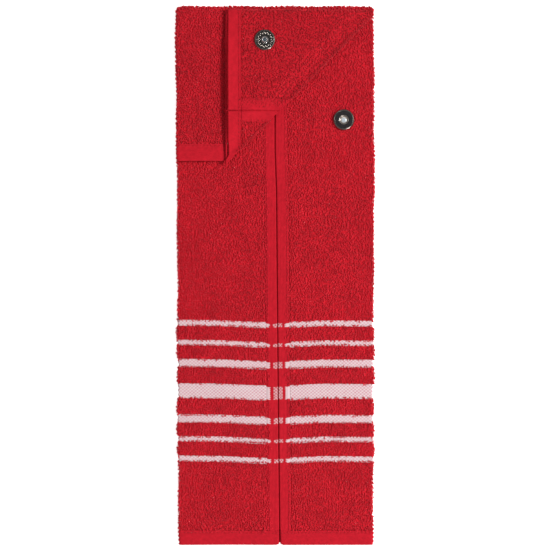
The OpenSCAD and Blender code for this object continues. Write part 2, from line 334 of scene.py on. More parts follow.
def grid_faces(rows, columns, first=0, flip=False):
    """Quads between neighbouring points of a grid whose points are numbered row by row."""
    n = first + np.arange(rows * columns).reshape(rows, columns)
    quads = np.stack([n[:-1, :-1], n[:-1, 1:], n[1:, 1:], n[1:, :-1]], -1).reshape(-1, 4)
    return quads[:, ::-1] if flip else quads


def closed_sheet(outer, inner, normal):
    """Points and quads of a thin closed sheet between two grids of the same shape."""
    rows, columns = outer.shape[:2]
    count = rows * columns
    e1, e2 = outer[0, 1] - outer[0, 0], outer[-1, 0] - outer[0, 0]
    flip = np.dot(np.cross(e1, e2), normal) < 0
    n = np.arange(count).reshape(rows, columns)
    rim = np.concatenate([n[0, :-1], n[:-1, -1], n[-1, :0:-1], n[:0:-1, 0]])
    after = np.roll(rim, -1)
    wall = np.stack([rim, rim + count, after + count, after], -1)
    faces = np.concatenate([
        grid_faces(rows, columns, 0, flip),
        grid_faces(rows, columns, count, not flip),
        wall[:, ::-1] if flip else wall,
    ])
    return np.concatenate([outer.reshape(-1, 3), inner.reshape(-1, 3)]), faces


def join(parts):
    """Several (points, faces, values) as one."""
    firsts = np.cumsum([0] + [len(p[0]) for p in parts[:-1]])
    return (np.concatenate([p[0] for p in parts]),
            np.concatenate([p[1] + k for p, k in zip(parts, firsts)]),
            np.concatenate([p[2] for p in parts]))


def patch(where, s_ends, u_values, step, outer_depth, inner_depth=BACKING_DEPTH, value=None):
    """A closed sheet over a ruled patch: s runs between s_ends(u) on each row. where is a place function."""
    ends = np.array([s_ends(u) for u in u_values])
    columns = max(3, int(np.max(np.abs(ends[:, 1] - ends[:, 0])) / step) + 1)
    t = np.linspace(0, 1, columns)
    s = ends[:, :1] + t * (ends[:, 1:] - ends[:, :1])
    u = np.repeat(np.asarray(u_values, float)[:, None], columns, 1)
    deep = outer_depth(s, u) if callable(outer_depth) else outer_depth
    outer, normals = where(s, u, deep)[:2]
    inner = where(s, u, inner_depth)[0]
    points, faces = closed_sheet(outer, inner, normals[0, 0])
    tint_and_shade = np.zeros_like(s) if value is None else value(s, u)
    return points, faces, np.concatenate([tint_and_shade.ravel(), tint_and_shade.ravel()])


# The arch of a pile loop or a stitch: each ring's place along it, height, share of the lean, thickness
ARCH = np.array([
    [-0.85, -0.22, 0.0, 0.85],
    [-1.15, 0.55, 0.35, 0.98],
    [0.0, 1.0, 1.0, 1.05],
    [1.15, 0.55, 0.35, 0.98],
    [0.85, -0.22, 0.0, 0.85],
])
ARCH_SIDES = 4


def arches(points, normals, forward, half, height, lean, radius, kink, tint_and_shade):
    """A short arched tube at each point: forward is the way it runs, lean moves its top."""
    side = np.cross(normals, forward)
    rings = []
    for along, up, share, _ in ARCH:
        twist = kink[:, None] * (along * up)
        rings.append(points + forward * (along * half)[:, None] + normals * (up * height)[:, None]
                     + lean * share + side * twist)
    rings = np.stack(rings, 1)
    way = np.gradient(rings, axis=1)
    way /= np.linalg.norm(way, axis=2, keepdims=True)
    side = side[:, None] - way * np.sum(side[:, None] * way, axis=2, keepdims=True)
    side /= np.linalg.norm(side, axis=2, keepdims=True)
    third = np.cross(way, side)
    turn = 2 * np.pi * (np.arange(ARCH_SIDES) + 0.5) / ARCH_SIDES
    thick = radius[:, None, None, None] * ARCH[None, :, 3, None, None]
    tube = rings[:, :, None] + thick * (side[:, :, None] * np.cos(turn)[:, None]
                                        + third[:, :, None] * np.sin(turn)[:, None])
    per = len(ARCH) * ARCH_SIDES
    k = np.arange(ARCH_SIDES)
    n = np.arange(len(ARCH) - 1)[:, None] * ARCH_SIDES
    ring = np.stack([n + k, n + (k + 1) % ARCH_SIDES,
                     n + ARCH_SIDES + (k + 1) % ARCH_SIDES, n + ARCH_SIDES + k], -1).reshape(-1, 4)
    caps = np.array([[3, 2, 1, 0], per - 4 + k])
    one = np.concatenate([ring, caps])
    faces = (np.arange(len(points)) * per)[:, None, None] + one
    # Painted shade: each loop is painted up to 35% darker towards its feet, low in the pile.
    shade = np.broadcast_to(ARCH[:, 1][None, :, None], tube.shape[:3])
    value = np.clip(tint_and_shade[:, None, None] * (0.65 + 0.35 * np.clip(shade, 0, 1)), 0, 1)
    return tube.reshape(-1, 3), faces.reshape(-1, 4), value.ravel()


# ---- materials

def nodes_of(name, roughness, **inputs):
    """A material with its nodes and its Principled shader, whose plain inputs are set."""
    material = bpy.data.materials.new(name)
    material.use_nodes = True
    tree = material.node_tree
    shader = tree.nodes["Principled BSDF"]
    shader.inputs["Roughness"].default_value = roughness
    for key, value in inputs.items():
        shader.inputs[key.replace("_", " ")].default_value = value
    return material, tree, shader


def add(tree, kind, inputs=None, **settings):
    """A node with its settings and its inputs, each a value or another node's output."""
    node = tree.nodes.new("ShaderNode" + kind)
    for key, value in settings.items():
        setattr(node, key, value)
    for key, value in (inputs or {}).items():
        if isinstance(value, bpy.types.NodeSocket):
            tree.links.new(value, node.inputs[key])
        else:
            node.inputs[key].default_value = value
    return node


def place_of(tree, scale):
    """The object's own coordinates, in metres, times scale."""
    coordinates = add(tree, "TexCoord")
    return add(tree, "VectorMath", {0: coordinates.outputs["Object"], 1: scale},
               operation="MULTIPLY").outputs[0]


def ramp(tree, value, stops):
    """A colour ramp through stops of (place, colour)."""
    node = add(tree, "ValToRGB", {"Fac": value})
    elements = node.color_ramp.elements
    while len(elements) < len(stops):
        elements.new(0.5)
    for element, (at, colour) in zip(elements, stops):
        element.position = at
        element.color = (*colour, 1)
    return node.outputs["Color"]


def noise(tree, scale, detail=2.0, roughness=0.5):
    """Fractal noise whose grains are 1 / scale metres across."""
    return add(tree, "TexNoise", {"Vector": place_of(tree, (1, 1, 1)), "Scale": scale,
                                  "Detail": detail, "Roughness": roughness}).outputs["Fac"]


def bump(tree, shader, height, distance, strength=1.0):
    """Bumps the shader, distance in metres."""
    node = add(tree, "Bump", {"Height": height, "Distance": distance, "Strength": strength})
    tree.links.new(node.outputs["Normal"], shader.inputs["Normal"])


def paint(tree, shader, colour):
    """Links a colour to the shader's base."""
    tree.links.new(colour, shader.inputs["Base Color"])


def maths(tree, operation, a, b=0.0):
    """The result of one arithmetic node."""
    return add(tree, "Math", {0: a, 1: b}, operation=operation).outputs[0]


def weave_height(tree, across_mm, along_mm):
    """A plain weave's height, 0 to 1, from two crossed waves of these spacings."""
    where = add(tree, "SeparateXYZ", {0: place_of(tree, (1, 1, 1))})
    turn = 2 * math.pi / MM
    a = maths(tree, "SINE", maths(tree, "MULTIPLY", where.outputs[0], turn / across_mm))
    b = maths(tree, "SINE", maths(tree, "MULTIPLY", where.outputs[1], turn / along_mm))
    return maths(tree, "MULTIPLY_ADD", maths(tree, "MULTIPLY", a, b), 0.5)


def tint_and_shade_of(tree):
    """The number that make_mesh kept at each point."""
    return add(tree, "Attribute", attribute_name="tint_and_shade", attribute_type="GEOMETRY").outputs["Fac"]


def pile_material():
    material, tree, shader = nodes_of("terry_pile", 0.92, Sheen_Weight=0.18, Sheen_Roughness=0.45,
                                      Sheen_Tint=(1, 0.35, 0.35, 1), Specular_IOR_Level=0.15)
    # The ramp turns each point's stored number, with its painted shade, into red.
    base = ramp(tree, tint_and_shade_of(tree), [
        (0.0, (0.35, 0.008, 0.0145)), (0.5, (0.57, 0.012, 0.025)), (1.0, (0.77, 0.022, 0.043))])
    slow, fine = noise(tree, 55, 3), noise(tree, 240, 2)
    patchy = ramp(tree, maths(tree, "MULTIPLY", maths(tree, "ADD", slow, fine), 0.5), [
        (0.35, (0.72, 0.68, 0.68)), (0.62, (1, 1, 1))])
    mixed = add(tree, "Mix", {0: 1.0, 6: base, 7: patchy}, data_type="RGBA", blend_type="MULTIPLY")
    paint(tree, shader, mixed.outputs[2])
    bump(tree, shader, noise(tree, 2600, 1), 0.00012, 0.5)
    return material


def ground_material():
    material, tree, shader = nodes_of("terry_ground", 0.95, Specular_IOR_Level=0.1)
    colour = ramp(tree, noise(tree, 420, 2), [
        (0.3, (0.48, 0.010, 0.019)), (0.7, (0.59, 0.0125, 0.025))])
    paint(tree, shader, colour)
    bump(tree, shader, weave_height(tree, 1.1, 1.3), 0.0002, 0.8)
    return material


def hem_material():
    material, tree, shader = nodes_of("hem_weave", 0.9, Specular_IOR_Level=0.12)
    red = ramp(tree, noise(tree, 300, 3), [
        (0.3, (0.375, 0.0060, 0.0145)), (0.7, (0.465, 0.0078, 0.0185))])
    mixed = add(tree, "Mix", {0: tint_and_shade_of(tree), 6: red, 7: (0.60, 0.45, 0.47, 1)}, data_type="RGBA")
    paint(tree, shader, mixed.outputs[2])
    bump(tree, shader, weave_height(tree, 0.8, 0.9), 0.00008, 0.6)
    return material


def stripe_material():
    material, tree, shader = nodes_of("stripe_weave", 0.8, Specular_IOR_Level=0.2)
    height = weave_height(tree, *STRIPE_WEAVE)
    speckle = maths(tree, "MULTIPLY", noise(tree, 420, 1), 0.3)
    mixed = maths(tree, "ADD", maths(tree, "MULTIPLY", height, 0.9), speckle)
    colour = ramp(tree, mixed, [(0.2, (0.50, 0.19, 0.232)), (0.55, (0.545, 0.385, 0.405)),
                                (1.0, (0.64, 0.555, 0.562))])
    paint(tree, shader, colour)
    bump(tree, shader, height, 0.0001, 0.6)
    return material


def thread_material():
    material, tree, shader = nodes_of("sewing_thread", 0.6, Specular_IOR_Level=0.3)
    colour = ramp(tree, noise(tree, 1500, 1), [
        (0.3, (0.36, 0.006, 0.014)), (0.7, (0.48, 0.009, 0.02))])
    paint(tree, shader, colour)
    return material


def metal_material(name, dark, light, roughness, metallic=1.0):
    material, tree, shader = nodes_of(name, roughness, Metallic=metallic,
                                      Specular_IOR_Level=0.5 if metallic else 0.06)
    colour = ramp(tree, noise(tree, 700, 4, 0.6), [(0.3, dark), (0.7, light)])
    paint(tree, shader, colour)
    rough = maths(tree, "MULTIPLY_ADD", noise(tree, 1200, 2), 0.12)
    rough.node.inputs[2].default_value = roughness - 0.06
    tree.links.new(rough, shader.inputs["Roughness"])
    bump(tree, shader, noise(tree, 1800, 2), 0.00002, 0.4)
    return material


PILE = pile_material()
GROUND = ground_material()
HEM = hem_material()
STRIPE = stripe_material()
THREAD = thread_material()
NICKEL = metal_material("snap_nickel_metal", (0.62, 0.59, 0.55), (0.78, 0.76, 0.73), 0.22)
GUNMETAL = metal_material("snap_gunmetal_metal", (0.014, 0.013, 0.013), (0.035, 0.032, 0.03), 0.35)
RELIEF = metal_material("snap_relief_metal", (0.60, 0.52, 0.46), (0.86, 0.78, 0.70), 0.3)
BUTTON = metal_material("snap_button_metal", (0.34, 0.33, 0.33), (0.50, 0.49, 0.48), 0.25)
EDGE = metal_material("snap_edge_metal", (0.13, 0.112, 0.10), (0.22, 0.19, 0.17), 0.28)
SLEEVE = metal_material("snap_sleeve_metal", (0.27, 0.23, 0.20), (0.42, 0.37, 0.33), 0.28)
DISC = metal_material("snap_disc_metal", (0.34, 0.38, 0.40), (0.46, 0.50, 0.53), 0.4)
# Near-black metal for the floor of the stud post's recess: painted shade in the hollow.
SHADED_RECESS = metal_material("snap_recess_shaded_metal", (0.05, 0.06, 0.07), (0.10, 0.12, 0.14), 0.4)
BLACK = metal_material("snap_black_cover", (0.012, 0.011, 0.012), (0.022, 0.02, 0.021), 0.5, 0.0)
STEEL = metal_material("washer_steel_metal", (0.42, 0.42, 0.43), (0.55, 0.55, 0.56), 0.35)


def new_piece(name, made, material, body=None):
    """A piece with its material, slot and body. A fold's piece gets no body."""
    obj = make_mesh(name, *made)
    obj.data.materials.append(material)
    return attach(obj, body) if body else obj


# ---- the cloth's panels and hems, leaf by leaf

def diagonal_x(u):
    """Where the diagonal fold crosses the flap, at a place along the unfolded cloth."""
    return 2 * HINGE_Y - u - DIAG_C


def diagonal_u(x):
    """Where the diagonal fold crosses a line that runs along the towel at x."""
    return 2 * HINGE_Y - DIAG_C - x


def ends_on(leaf, x0, x1, body):
    """A function of u that gives the patch's two ends across, cut at the diagonal on the flap."""
    def ends(u):
        low, high = x0, x1
        if body == "flap":
            high = max(low, min(high, diagonal_x(u)))
        elif body == "corner":
            low = min(high, max(low, diagonal_x(u)))
        return sorted((s_on(leaf, low), s_on(leaf, high)))
    return ends


def rows_of(ends, u0, u1, step, least=0.3):
    """Rows along the cloth where the patch is wider than least."""
    fine = np.linspace(u0, u1, 800)
    wide = [u for u in fine if ends(u)[1] - ends(u)[0] > least]
    if len(wide) < 2:
        return None
    return np.linspace(wide[0], wide[-1], max(2, int((wide[-1] - wide[0]) / step) + 1))


def bulge(s, u):
    """Ground depth: the pile bands between the stripes swell a little."""
    lift = np.zeros_like(u)
    for (_, low), (high, _) in zip(STRIPES[:-1], STRIPES[1:]):
        t = np.clip((u - low) / (high - low), 0, 1)
        lift = lift + (0.45 + 0.5 * np.exp(-((np.abs(s) - MID_BEND) / 4) ** 2)) * np.sin(np.pi * t)
    return GROUND_DEPTH - lift


def flat_of(ends, rows):
    """A patch's width, length and area when it is laid flat, in metres."""
    widths = np.array([ends(u)[1] - ends(u)[0] for u in rows]) * MM
    length = (rows[-1] - rows[0]) * MM
    middle = (widths[1:] + widths[:-1]) / 2
    return (float(widths.max()), float(length)), float(middle.mean() * length)


SNAPS = {
    "column": sum(span("snap_socket_rim")) / 2,
    "corner": sum(span("snap_stud_cap")) / 2,
}
# How light each body's loops are on average, from 0 for the darkest red to 1 for the lightest. Besides the
# towel's own red this holds painted shade: the flap's loops, and the corner's most of all, are painted
# darker than the column's.
PAINTED_SHADES = {"column": 0.73, "flap": 0.67, "corner": 0.44}
FOLD_PAINTED_SHADE = 0.25                 # the same for the diagonal fold's loops, painted darker still as painted shade that hides the light on the fold
LOOPS_EACH = 5400                 # loops in one piece, which keeps it under 200,000 triangles


def loops_at(points, normals, across, along, u, shade=0.7):
    """Terry loops standing on the cloth at these places, leaning down the towel."""
    n = len(points)
    yaw = rng.normal(np.pi / 2, 0.8, n)[:, None]
    forward = across * np.cos(yaw) + along * np.sin(yaw)
    over = np.zeros(n)
    away = np.zeros(n)
    clump = np.zeros(n)
    for k, (low, high) in enumerate(STRIPES):
        over += smooth(1 - (u - high) / 2.1) * (u >= high)
        away += smooth(1 - (low + STRIPE_COVER - u) / 1.6) * (u <= low + STRIPE_COVER)
        x = points[:, 0]
        wave = np.sin(1.75 * x + 2.2 * np.sin(x / 6 + 2.1 * k) + k) + 0.6 * np.sin(0.8 * x + 3 * k)
        clump += (u >= high) * (u < high + 3) * wave
    drop = -0.3 - over * (0.5 + 0.4 * clump + rng.uniform(-0.5, 0.6, n)) - away * 0.45
    lean = (along * (drop + rng.normal(0, 0.3, n))[:, None]
            + across * rng.normal(0, 0.33, n)[:, None])
    height = rng.normal(1.12, 0.12, n) - 0.25 * over
    # Each loop's red differs at random about its body's mean, which holds painted shade.
    tint_and_shade = np.clip(rng.normal(shade, 0.12, n), 0.2, 1)
    return arches(points, normals, forward, rng.uniform(0.42, 0.62, n), height, lean,
                  rng.uniform(0.36, 0.46, n), rng.normal(0, 0.28, n), tint_and_shade)


def pile_pieces(name, body, made):
    """Objects of at most LOOPS_EACH loops each, from arch points, faces and tints."""
    points, faces, tint_and_shade = made
    per_points = len(ARCH) * ARCH_SIDES
    per_faces = (len(ARCH) - 1) * ARCH_SIDES + 2
    count = len(points) // per_points
    parts = max(1, math.ceil(count / LOOPS_EACH))
    cuts = np.linspace(0, count, parts + 1).astype(int)
    pieces = []
    for k, (a, b) in enumerate(zip(cuts[:-1], cuts[1:])):
        chosen = slice(a * per_points, b * per_points)
        part = points[chosen], faces[a * per_faces:b * per_faces] - a * per_points, tint_and_shade[chosen]
        label = f"{name}_{k + 1}" if parts > 1 else name
        pieces.append(new_piece(label, part, PILE, body))
    return pieces


def scatter(ends, u0, u1, pitch):
    """Jittered places of loops over a patch, row by row."""
    s_all, u_all = [], []
    for u in np.arange(u0 + pitch[1] / 2, u1, pitch[1]):
        low, high = ends(u)
        if high - low < pitch[0]:
            continue
        n = max(1, int(round((high - low) / pitch[0])))
        s_all.append(low + (np.arange(n) + 0.5 + rng.uniform(-0.38, 0.38, n)) * (high - low) / n)
        u_all.append(u + rng.uniform(-0.36, 0.36, n) * pitch[1])
    return np.concatenate(s_all), np.concatenate(u_all)


def past_hem(leaf, s, u, cover):
    """How far a place lies over the inner edge of the nearest hem, where loops thin out."""
    x = section(s, 0.0)[0]
    beyond = np.maximum((HEM_TOP - u) * 3, (u - FLAP_HEM_U) * 3)
    if leaf == "left":
        beyond = np.maximum(beyond, x - LEFT_HEM)
    if leaf == "right":
        beyond = np.maximum(beyond, RIGHT_HEM - cover - x)
    return np.clip(beyond, 0, FRINGE)


def pile_on(name, leaf, body, ends, u0, u1, pitch, cover):
    """Pile loops over a patch, fewer over its hems, and none on the stripes or round a snap."""
    s, u = scatter(ends, u0, u1, pitch)
    keep = rng.uniform(0, 1, len(u)) < (1 - past_hem(leaf, s, u, cover) / FRINGE) ** THINNING
    for low, high in STRIPES:
        keep &= (u < low + STRIPE_COVER) | (u > high)
    s, u = s[keep], u[keep]
    points, normals, across, along = place(body, s, u, bulge(s, u))
    if body in SNAPS:
        near = np.linalg.norm(points[:, :2] - SNAPS[body][:2], axis=1) < SNAP_CLEAR
        keep = ~(near & (normals[:, 2] > 0))
        points, normals, across, along, u = (a[keep] for a in (points, normals, across, along, u))
    # Each body's loops get that body's painted shade.
    return pile_pieces(name, body, loops_at(points, normals, across, along, u, PAINTED_SHADES[body]))


def terry_panel(node, leaf, body, x0, x1, u0, u1, extras=(), pitch=FRONT_PITCH):
    """One leaf of terry: its ground weave as a sheet, and the pile loops on its outer face."""
    name = node + "_terry"
    ends = ends_on(leaf, x0, x1, body)
    rows = rows_of(ends, u0, u1, GROUND_STEP)
    made = patch(partial(place, body), ends, rows, GROUND_STEP, bulge)
    sheet = new_piece(name, made, GROUND, body)
    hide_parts(node)
    cover = HEM_COVER if body == "corner" and leaf == "right" else 0.0
    over_x0 = x0 - (FRINGE + cover) * (leaf == "right")
    over_x1 = x1 + FRINGE * (leaf == "left")
    over = ends_on(leaf, over_x0, over_x1, body)
    span_u = rows[0] - FRINGE / 3 * (u0 == HEM_TOP), rows[-1] + FRINGE / 3 * (u1 == FLAP_HEM_U)
    pile = pile_on(name + "_pile", leaf, body, over, *span_u, pitch, cover)
    flat, area = flat_of(ends, rows)
    return sheet


def checked(s, u):
    """How white the woven check is where the stripes pass under the side hems."""
    x = section(s, 0.0)[0]
    from_seam = x - SEAM
    in_stripe = np.zeros_like(u)
    for low, high in STRIPES:
        in_stripe = np.maximum(in_stripe, (u > low + STRIPE_COVER) & (u < high - 0.3))
    teeth = 1.3 * np.abs(((u / 1.75) % 1) * 2 - 1)
    core = np.abs(from_seam) < 4.0
    solid = (from_seam < -6.4 - teeth) | (from_seam > 5.9 + teeth)
    cells = (np.floor(x / 1.35) + np.floor(u / 1.3)) % 2
    return in_stripe * np.where(solid, 0.95, core * (0.12 + 0.62 * cells))


def ribbed(leaf, lengthways):
    """Hem depth with fine ribs that run along the hem, and edges that round off."""
    def depth(s, u):
        x = section(s, 0.0)[0]
        ribs = RIB_HEIGHT * np.sin(2 * np.pi * (x if lengthways else u) / RIB_SPACING)
        worn = 0.05 * np.sin(x * 2.1 + u * 0.37) * np.sin(u * 0.9 + x * 0.4)
        rim = np.zeros_like(u)
        if lengthways:
            edge, inner = (LEFT_EDGE, LEFT_HEM) if leaf == "left" else (RIGHT_EDGE, RIGHT_HEM)
            rim = (0.45 * np.clip(1 - np.abs(x - edge) / 0.9, 0, 1) ** 2
                   + 0.5 * np.clip(1 - np.abs(x - inner) / 2.2, 0, 1) ** 1.5)
        else:
            from_edge = np.minimum(u - BOTTOM, FLAP_EDGE_U - u)
            rim = 0.5 * np.clip(1 - from_edge / 1.1, 0, 1) ** 2
        return HEM_DEPTH + ribs + worn + rim
    return depth


def hem_rows(ends, u0, u1, lengthways):
    """Rows along a hem, close together where a check pattern or ribs need them."""
    rows = rows_of(ends, u0, u1, 1.2 if lengthways else 0.3)
    if rows is None or not lengthways or u0 > STRIPES[-1][1]:
        return rows
    fine = np.arange(STRIPES[0][0] - 1, STRIPES[-1][1] + 1, 0.45)
    rest = rows[(rows < fine[0] - 0.4) | (rows > fine[-1] + 0.4)]
    return np.sort(np.concatenate([rest, fine]))


def hem_piece(node, leaf, body, x0, x1, u0, u1, lengthways):
    """A turned hem: flat weave with ribs along it."""
    ends = ends_on(leaf, x0, x1, body)
    rows = hem_rows(ends, u0, u1, lengthways)
    made = patch(partial(place, body), ends, rows, 0.28 if lengthways else 1.2, ribbed(leaf, lengthways),
                 BACKING_DEPTH + 0.05, checked)
    obj = new_piece(node + "_weave", made, HEM, body)
    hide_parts(node)
    return obj


def stitch_line(body, leaf, start, end):
    """Stitches from one (x, u) to another, each a low arch of thread."""
    start, end = np.array(start, float), np.array(end, float)
    length = np.linalg.norm(end - start)
    n = int(length / 3.1)
    if n < 1:
        return []
    t = (np.arange(n) + 0.5) / n
    x, u = (start + t[:, None] * (end - start)).T
    on_white = np.any([(u > low - 0.6) & (u < high + 0.6) for low, high in STRIPES], axis=0)
    x, u = x[~on_white], u[~on_white]
    n = len(x)
    points, normals, across, along = place(body, s_on(leaf, x), u, HEM_DEPTH + 0.05)
    heading = (end - start) / length
    turned = 1 if leaf == "back" else -1
    forward = across * heading[0] * turned + along * heading[1]
    one = np.ones(n)
    return [arches(points, normals, forward, 1.05 * one, 0.3 * one, 0 * points, 0.2 * one,
                   0.05 * one, 0.8 * one)]


def stitches(name, body, lines, node):
    """The stitches of one CAD node, as one piece."""
    parts = [p for line in lines for p in stitch_line(body, *line)]
    obj = new_piece(name, join(parts), THREAD, body)
    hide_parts(node)
    return obj


def stripe_depth(s, u):
    """Depth of a stripe's face, where the weave stands up a little."""
    a, b = STRIPE_WEAVE
    return STRIPE_DEPTH - 0.06 * np.sin(2 * np.pi * s / a) * np.sin(2 * np.pi * u / b)


def stripe_piece(name, leaf, node):
    """The flat-woven white stripes on one leaf."""
    x0, x1 = LEAVES[leaf]
    ends = ends_on(leaf, x0, x1, "column")
    parts = []
    for low, high in STRIPES:
        rows = np.linspace(low - 0.5, high + 0.4, int((high - low) / STRIPE_STEP) + 3)
        parts.append(patch(partial(place, "column"), ends, rows, STRIPE_STEP, stripe_depth,
                           GROUND_DEPTH - 0.05))
    obj = new_piece(name, join(parts), STRIPE, "column")
    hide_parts(node)
    return obj


LEAVES = {"back": (-MID_BEND, MID_BEND), "left": (-MID_BEND, LEFT_HEM), "right": (RIGHT_HEM, MID_BEND)}
HEM_LEAVES = {"left": (LEFT_HEM, LEFT_EDGE), "right": (RIGHT_EDGE, RIGHT_HEM)}
END_LEAVES = {"back": (-MID_BEND, MID_BEND), "left": (-MID_BEND, LEFT_EDGE),
              "right": (RIGHT_EDGE, MID_BEND)}
STITCH_IN = 1.9                   # stitching from a hem's inner edge
STITCH_LEFT = LEFT_HEM + STITCH_IN
STITCH_RIGHT = RIGHT_HEM - STITCH_IN
STITCH_END = FLAP_HEM_U + STITCH_IN


def build_column():
    """The part that lies flat: stripes, hems and stitching first, then the terry."""
    stripes = {leaf: stripe_piece("stripes_on_" + leaf, leaf, "stripes_" + leaf) for leaf in LEAVES}
    hems = {leaf: hem_piece("side_hem_" + leaf, leaf, "column", *xs, HEM_TOP, HINGE_Y, True)
            for leaf, xs in HEM_LEAVES.items()}
    ends = {leaf: hem_piece("bottom_hem_" + leaf, leaf, "column", *xs, BOTTOM, HEM_TOP, False)
            for leaf, xs in END_LEAVES.items()}
    side = stitches("side_hem_thread", "column", [
        ("left", (STITCH_LEFT, HEM_TOP), (STITCH_LEFT, HINGE_Y)),
        ("right", (STITCH_RIGHT, HEM_TOP), (STITCH_RIGHT, HINGE_Y))], "side_hem_stitching")
    u = HEM_TOP - STITCH_IN
    bottom = stitches("bottom_hem_thread", "column", [
        (leaf, (x0, u), (x1, u)) for leaf, (x0, x1) in END_LEAVES.items()], "bottom_hem_stitching")
    extras = {
        "back": [stripes["back"], ends["back"]],
        "left": [stripes["left"], hems["left"], ends["left"], side],
        "right": [stripes["right"], hems["right"], ends["right"], bottom],
    }
    names = {"back": "back_panel", "left": "front_panel_left", "right": "front_panel_right"}
    for leaf, (x0, x1) in LEAVES.items():
        terry_panel(names[leaf], leaf, "column", x0, x1, HEM_TOP, HINGE_Y, extras[leaf],
                    BACK_PITCH if leaf == "back" else FRONT_PITCH)


def build_turned(body, end_hems, stitching):
    """The flap's strip or its folded corner: two leaves of terry, their hems and stitching."""
    u0, u1 = HINGE_Y, FLAP_HEM_U
    hems = [hem_piece(f"{body}_side_hem_{leaf}", leaf, body, *xs, u0, u1, True)
            for leaf, xs in HEM_LEAVES.items()]
    hems += [hem_piece(node, leaf, body, *END_LEAVES[leaf], u1, FLAP_EDGE_U, False)
             for leaf, node in end_hems.items()]
    hems += [stitches(f"{body}_hem_thread", body, stitching, f"{body}_hem_stitching")]
    terry_panel(f"{body}_outer_sheet", "back", body, *LEAVES["back"], u0, u1, hems)
    for leaf in HEM_LEAVES:
        terry_panel(f"{body}_inner_sheet_{leaf}", leaf, body, *LEAVES[leaf], u0, u1)


def build_flap():
    """The top end, turned down over the front as far as the diagonal."""
    cut = diagonal_x(STITCH_END)
    build_turned("flap", {"back": "flap_end_hem_outer", "left": "flap_end_hem_inner"}, [
        ("back", (-MID_BEND, STITCH_END), (cut, STITCH_END)),
        ("left", (-MID_BEND, STITCH_END), (cut, STITCH_END)),
        ("left", (STITCH_LEFT, HINGE_Y), (STITCH_LEFT, diagonal_u(STITCH_LEFT))),
        ("right", (STITCH_RIGHT, HINGE_Y), (STITCH_RIGHT, diagonal_u(STITCH_RIGHT)))])


def build_corner():
    """The flap's corner, folded back over the diagonal."""
    cut = diagonal_x(STITCH_END)
    end_hems = {"back": "corner_end_hem_outer", "left": "corner_end_hem_left",
                "right": "corner_end_hem_right"}
    build_turned("corner", end_hems, [
        ("back", (cut, STITCH_END), (MID_BEND, STITCH_END)),
        ("left", (cut, STITCH_END), (LEFT_EDGE, STITCH_END)),
        ("right", (RIGHT_EDGE, STITCH_END), (MID_BEND, STITCH_END)),
        ("left", (STITCH_LEFT, diagonal_u(STITCH_LEFT)), (STITCH_LEFT, FLAP_HEM_U)),
        ("right", (STITCH_RIGHT, diagonal_u(STITCH_RIGHT)), (STITCH_RIGHT, FLAP_HEM_U))])


# ---- the two folds that move, between the bodies

def blend_over(obj):
    """Bakes obj's placement into its mesh."""
    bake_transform(obj)
    return obj


def build_top_fold():
    """The fold between the column and the flap, with its own pile."""
    angles = np.linspace(0, np.pi, BEND_ROWS)
    whole = lambda angle: (s_on("left", LEFT_EDGE), s_on("right", RIGHT_EDGE))
    made = patch(place_top, whole, angles, GROUND_STEP, GROUND_DEPTH)
    cloth = new_piece("top_fold_terry", made, GROUND)
    s_all, a_all = [], []
    for angle in np.linspace(0, np.pi, 9):
        s = np.arange(-MID_BEND, MID_BEND, 1.5)
        s_all.append(s + rng.uniform(-0.5, 0.5, len(s)))
        a_all.append(angle + rng.uniform(-0.2, 0.2, len(s)))
    s, angle = np.concatenate(s_all), np.concatenate(a_all)
    laid = place_top(s, angle, GROUND_DEPTH)
    pile = pile_pieces("top_fold_pile", None, loops_at(*laid, np.full(len(s), HINGE_Y)))
    for obj in [cloth, *pile]:
        blend_over(obj)
    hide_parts("top_fold")


def diagonal_ends(x0, x1):
    """A stretch of the diagonal bend, cut level with the flap's edge and with the towel's side."""
    def ends(angle):
        reach = PRESSED * (HINGE_Z - GROUND_DEPTH) * math.sin(angle) / ROOT2
        return max(x0, TIP_X + reach), min(x1, FOLD_END - reach)
    return ends


def build_diagonal_fold():
    """The fold between the flap and its corner: terry, lining, hems and pile."""
    angles = np.linspace(0, np.pi, BEND_ROWS)
    lining = partial(place_diagonal, leaf="back")
    hem_end = TIP_X + FLAP_HEM - FLAP_EDGE
    terry = [(hem_end, LEFT_HEM), (RIGHT_HEM, FOLD_END)]
    grounds = [patch(place_diagonal, diagonal_ends(a, b), angles, GROUND_STEP, GROUND_DEPTH)
               for a, b in terry]
    grounds.append(patch(lining, diagonal_ends(TIP_X, FOLD_END), angles, GROUND_STEP, GROUND_DEPTH))
    cloth = new_piece("corner_fold_terry", join(grounds), GROUND)
    hems = [(TIP_X, hem_end), (LEFT_HEM, LEFT_EDGE), (RIGHT_EDGE, RIGHT_HEM)]
    ribs = lambda x, a: HEM_DEPTH + RIB_HEIGHT * np.sin(2 * np.pi * x / RIB_SPACING)
    woven = [patch(place_diagonal, diagonal_ends(a, b), angles, 0.3, ribs) for a, b in hems]
    hem = new_piece("corner_fold_hems", join(woven), HEM)
    x_all, a_all = [], []
    for angle in np.linspace(0, np.pi, 7):
        for a, b in terry:
            low, high = diagonal_ends(a - FRINGE, b + FRINGE)(angle)
            x = np.arange(low, high, 1.5 / ROOT2)
            x = x + rng.uniform(-0.4, 0.4, len(x))
            past = np.clip(np.maximum(a - x, x - b), 0, FRINGE)
            x = x[rng.uniform(0, 1, len(x)) < (1 - past / FRINGE) ** THINNING]
            x_all.append(x)
            a_all.append(angle + rng.uniform(-0.2, 0.2, len(x)))
    x, angle = np.concatenate(x_all), np.concatenate(a_all)
    laid = place_diagonal(x, angle, GROUND_DEPTH)
    # The fold's loops are painted dark, painted shade that hides the light caught by the fold's face.
    loops = loops_at(*laid, np.full(len(x), HINGE_Y), FOLD_PAINTED_SHADE)
    pile = pile_pieces("corner_fold_pile", None, loops)
    for obj in [cloth, hem, *pile]:
        blend_over(obj)
    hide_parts("corner_fold")


# ---- the magnetic snap

